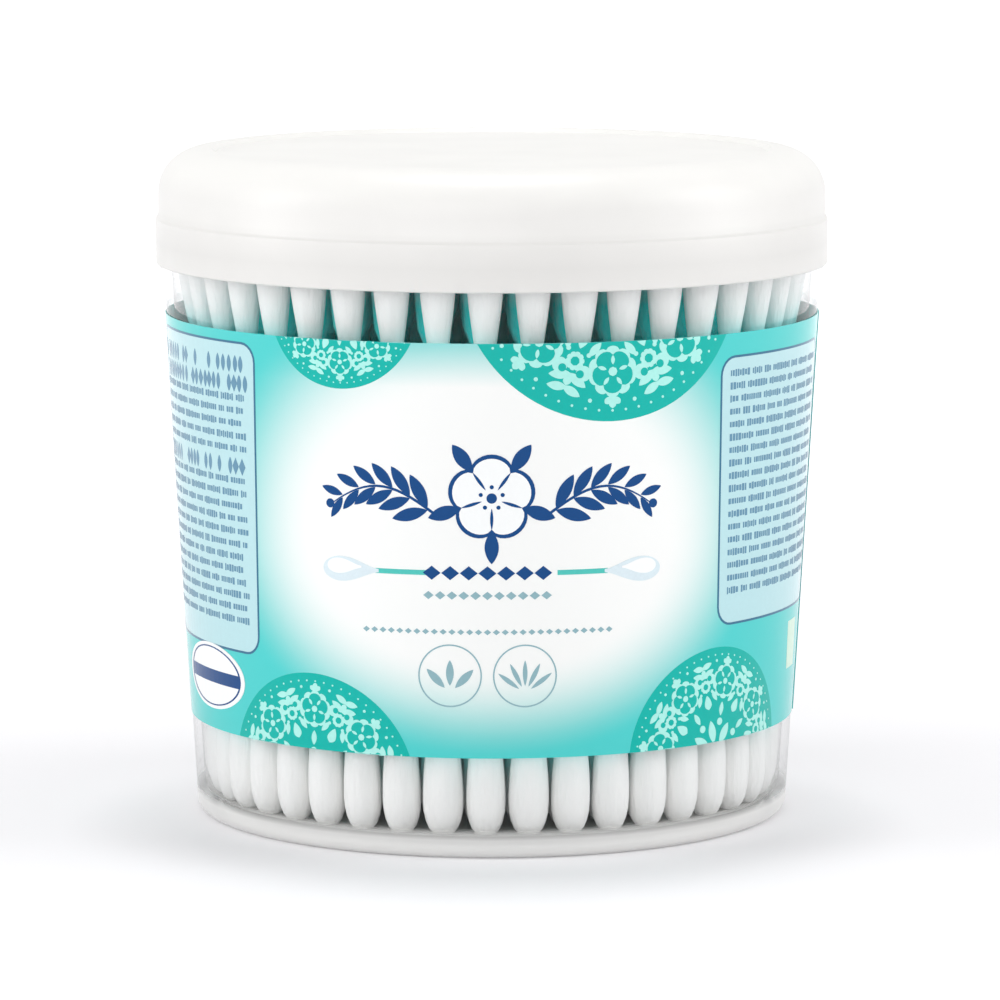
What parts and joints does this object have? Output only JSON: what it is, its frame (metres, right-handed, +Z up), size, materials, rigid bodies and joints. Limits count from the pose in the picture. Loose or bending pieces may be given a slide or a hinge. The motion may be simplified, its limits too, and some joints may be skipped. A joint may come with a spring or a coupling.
{
  "type": "cotton swab tub",
  "caption": "Round clear plastic tub packed with upright cotton swabs, closed by a milky press-on lid that lifts off, with a film label round its wall.",
  "frame": {"origin": "centre of the tub's foot ring, on the surface it stands on", "axes": "+Z up along the tub's axis; -Y faces the front of the label, with its seam near +X"},
  "size_m": [0.083, 0.083, 0.0823],
  "materials": {
    "clear_plastic": "clear glossy moulded plastic",
    "milky_plastic": "milky translucent satin moulded plastic",
    "label_film": "glossy printed film, teal and white",
    "stick_plastic": "smooth turquoise extruded plastic",
    "cotton": "soft wound white cotton"
  },
  "bodies": {
    "tub_body": {"tub": "clear_plastic", "label": "label_film", "sticks_ring_1": "stick_plastic", "sticks_ring_2": "stick_plastic", "sticks_ring_3": "stick_plastic", "sticks_ring_4": "stick_plastic", "sticks_ring_5": "stick_plastic", "sticks_ring_6": "stick_plastic", "sticks_ring_7": "stick_plastic", "bottom_buds_ring_1": "cotton", "bottom_buds_ring_2": "cotton", "bottom_buds_ring_3": "cotton", "bottom_buds_ring_4": "cotton", "bottom_buds_ring_5": "cotton", "bottom_buds_ring_6": "cotton", "bottom_buds_ring_7": "cotton", "top_buds_ring_1": "cotton", "top_buds_ring_2": "cotton", "top_buds_ring_3": "cotton", "top_buds_ring_4": "cotton", "top_buds_ring_5": "cotton", "top_buds_ring_6": "cotton", "top_buds_ring_7": "cotton"},
    "lid_body": {"lid": "milky_plastic"}
  },
  "joints": [
    {"name": "lid_lift", "type": "slide", "parent": "tub_body", "child": "lid_body", "axis": [0, 0, 1], "range_m": [0, 0.04]}
  ]
}
